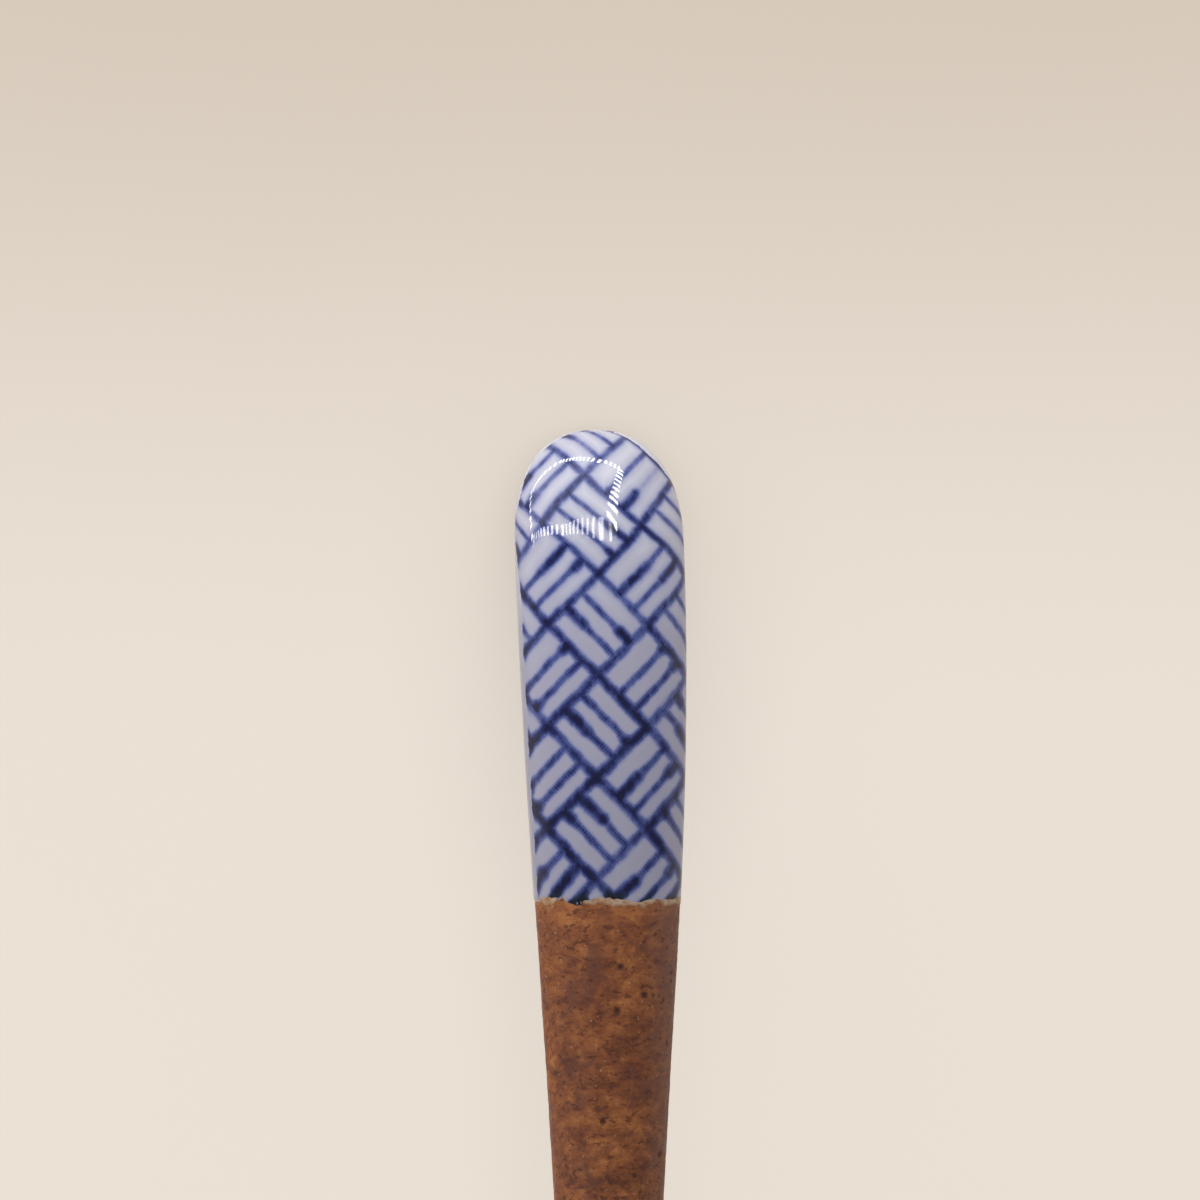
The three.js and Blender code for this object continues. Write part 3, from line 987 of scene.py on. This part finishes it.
# Floor
def floor_material():
    material, tree, shader = new_material("floor")
    place = surface_place(tree)
    wire(shader, Base_Color=ramp(grain(place, FLOOR_CLOUD_SIZE * MM, 2.0), (0.3, FLOOR_WARM), (0.7, WALLS)))
    shader.inputs["Roughness"].default_value = FLOOR_ROUGHNESS
    shader.inputs["Specular IOR Level"].default_value = FLOOR_SPECULAR
    glow = tree.nodes.new("ShaderNodeEmission")
    # painted shade: the floor's glow deepens further along past the tip
    shade = part_of(place, 1).rise(FLOOR_NEAR * MM, FLOOR_FAR * MM)
    wire(glow, Color=ramp(shade, (0, FLOOR_PALE), (1, FLOOR_DEEP)))
    inputs = {"Distance": SHADE_REACH * MM}
    # painted shadow round the spoon in the floor's glow
    open_share = place.node("ShaderNodeAmbientOcclusion", inputs, "AO", samples=SHADE_SAMPLES)
    wire(glow, Strength=open_share.rise(0, 1, SHADE_LEAST, 1))
    path = tree.nodes.new("ShaderNodeLightPath")
    kinds = ("Is Camera Ray", "Is Glossy Ray", "Is Transmission Ray")
    camera, glossy, through = (Field(tree, path.outputs[kind]) for kind in kinds)
    mix = tree.nodes.new("ShaderNodeMixShader")
    wire(mix, Fac=camera.most(glossy).most(through) * FLOOR_GLOW)
    tree.links.new(shader.outputs[0], mix.inputs[1])
    tree.links.new(glow.outputs[0], mix.inputs[2])
    # Open from below, so that the spoon's underside can be looked at
    below = Field(tree, tree.nodes.new("ShaderNodeNewGeometry").outputs["Backfacing"])
    opened = tree.nodes.new("ShaderNodeMixShader")
    wire(opened, Fac=below)
    tree.links.new(mix.outputs[0], opened.inputs[1])
    tree.links.new(tree.nodes.new("ShaderNodeBsdfTransparent").outputs[0], opened.inputs[2])
    tree.links.new(opened.outputs[0], tree.nodes["Material Output"].inputs["Surface"])
    return material


half = FLOOR_SIZE * MM / 2
floor_mesh = bpy.data.meshes.new("floor")
corners = [(-half, -half, 0), (half, -half, 0), (half, half, 0), (-half, half, 0)]
floor_mesh.from_pydata(corners, [], [(0, 1, 2, 3)])
floor_mesh.materials.append(floor_material())
floor = bpy.data.objects.new("floor", floor_mesh)
bpy.context.collection.objects.link(floor)

# The room
world = bpy.data.worlds.new("studio")
world.use_nodes = True
bpy.context.scene.world = world
room = world.node_tree
height = part_of(Field(room, room.nodes.new("ShaderNodeTexCoord").outputs["Generated"]), 2)
room_colour = ramp(height.rise(WALLS_UP_TO, CEILING_FROM), (0, WALLS), (1, CEILING))
wire(room.nodes["Background"], Color=room_colour)


# The lamps close to the spoon light the spoon or its bowl alone, not the floor beside them
def lit_group(name, *pieces):
    group = bpy.data.collections.new(name)
    for piece in pieces:
        group.objects.link(piece)
    return group


spoon = lit_group("spoon", clay, handle_slip, handle_glaze, bowl_slip, bowl_glaze)
bowl = lit_group("bowl", bowl_slip, bowl_glaze)


# A lamp from one place to another, which shines towards facing
def lamp(name, start, end, width, facing, radiance):
    along = (end - start).normalized()
    data = bpy.data.lights.new(name, "AREA")
    data.shape = "RECTANGLE"
    data.size = (end - start).length * MM
    data.size_y = width * MM
    data.color = srgb(*LAMP_WHITE)[:3]
    data.energy = radiance * math.pi * data.size * data.size_y
    made = bpy.data.objects.new(name, data)
    back = -facing.normalized()
    turn = Matrix((along, back.cross(along), back)).transposed().to_4x4()
    made.matrix_world = Matrix.Translation((start + end) / 2 * MM) @ turn
    made.visible_camera = False
    bpy.context.collection.objects.link(made)
    return made


def near_lamp(group, *shape):
    made = lamp(*shape)
    made.light_linking.receiver_collection = group
    return made


# Rows of small lights in a lamp
def lit_in_rows(made, pitch):
    made.data.use_nodes = True
    tree = made.data.node_tree
    spot = part_of(Field(tree, tree.nodes.new("ShaderNodeNewGeometry").outputs["Parametric"]), 0)
    count = round(made.data.size / (pitch * MM))
    rows = (spot * (2 * math.pi * count)).math("SINE").rise(*LIGHT_EDGE, *LIGHT_SHARES)
    wire(tree.nodes["Emission"], Strength=rows)


# The frame and its panel
aim = Vector((0, Y_TIP - LIT_FROM_TIP, LIT_HEIGHT))
frame_away = Vector((0, math.sin(FRAME_TILT), math.cos(FRAME_TILT)))
frame_up = Vector((0, -math.cos(FRAME_TILT), math.sin(FRAME_TILT)))
frame_right = Vector((1, 0, 0))
frame_middle = aim + frame_away * FRAME_DISTANCE
frame_corners = [frame_middle + frame_right * x + frame_up * y for x, y in FRAME_CORNERS]
strips = zip(FRAME_WIDTHS, FRAME_RADIANCES, FRAME_PITCHES)
for index, (width, radiance, pitch) in enumerate(strips):
    start, end = frame_corners[index], frame_corners[(index + 1) % len(frame_corners)]
    strip = near_lamp(spoon, f"frame_{index}", start, end, width, -frame_away, radiance)
    lit_in_rows(strip, pitch)
right_low, right_high, _, left_high, left_low, _ = frame_corners
panel_start, panel_end = (left_high + left_low) / 2, (right_low + right_high) / 2
panel_height = (right_high - right_low).length
near_lamp(spoon, "panel", panel_start, panel_end, panel_height, -frame_away, PANEL_RADIANCE)

# The windows and the soft lamp, which has no highlight of its own
bowl_middle = Vector((0, Y_WIDEST, LIT_HEIGHT))
window_side = Vector((0, WINDOW_LENGTH / 2, 0))
window_ends = (WINDOW_PLACE - window_side, WINDOW_PLACE + window_side)
near_lamp(spoon, "window", *window_ends, WINDOW_WIDTH, bowl_middle - WINDOW_PLACE, WINDOW_RADIANCE)
roof_side = Vector((0, ROOF_LENGTH / 2, 0))
roof_ends = (ROOF_PLACE - roof_side, ROOF_PLACE + roof_side)
near_lamp(bowl, "roof_window", *roof_ends, ROOF_WIDTH, bowl_middle - ROOF_PLACE, ROOF_RADIANCE)
soft_side = Vector((0, SOFT_SIZE / 2, 0))
soft_ends = (SOFT_PLACE - soft_side, SOFT_PLACE + soft_side)
soft = lamp("soft_left", *soft_ends, SOFT_SIZE, -SOFT_PLACE, SOFT_RADIANCE)
soft.visible_glossy = False

# The camera
camera_data = bpy.data.cameras.new("camera")
camera_data.sensor_width = SENSOR
camera_data.lens = SENSOR * CAMERA_DISTANCE / VIEW_HEIGHT
camera = bpy.data.objects.new("camera", camera_data)
bpy.context.collection.objects.link(camera)
toward = Vector((-math.sin(CAMERA_LEAN), 0, math.cos(CAMERA_LEAN)))
upward = Vector((0, 1, 0))
camera_turn = Matrix((upward.cross(toward), upward, toward)).transposed().to_4x4()
camera_place = (TARGET + toward * CAMERA_DISTANCE) * MM
camera.matrix_world = Matrix.Translation(camera_place) @ camera_turn
bpy.context.scene.camera = camera
bpy.context.scene.view_settings.view_transform = "Standard"
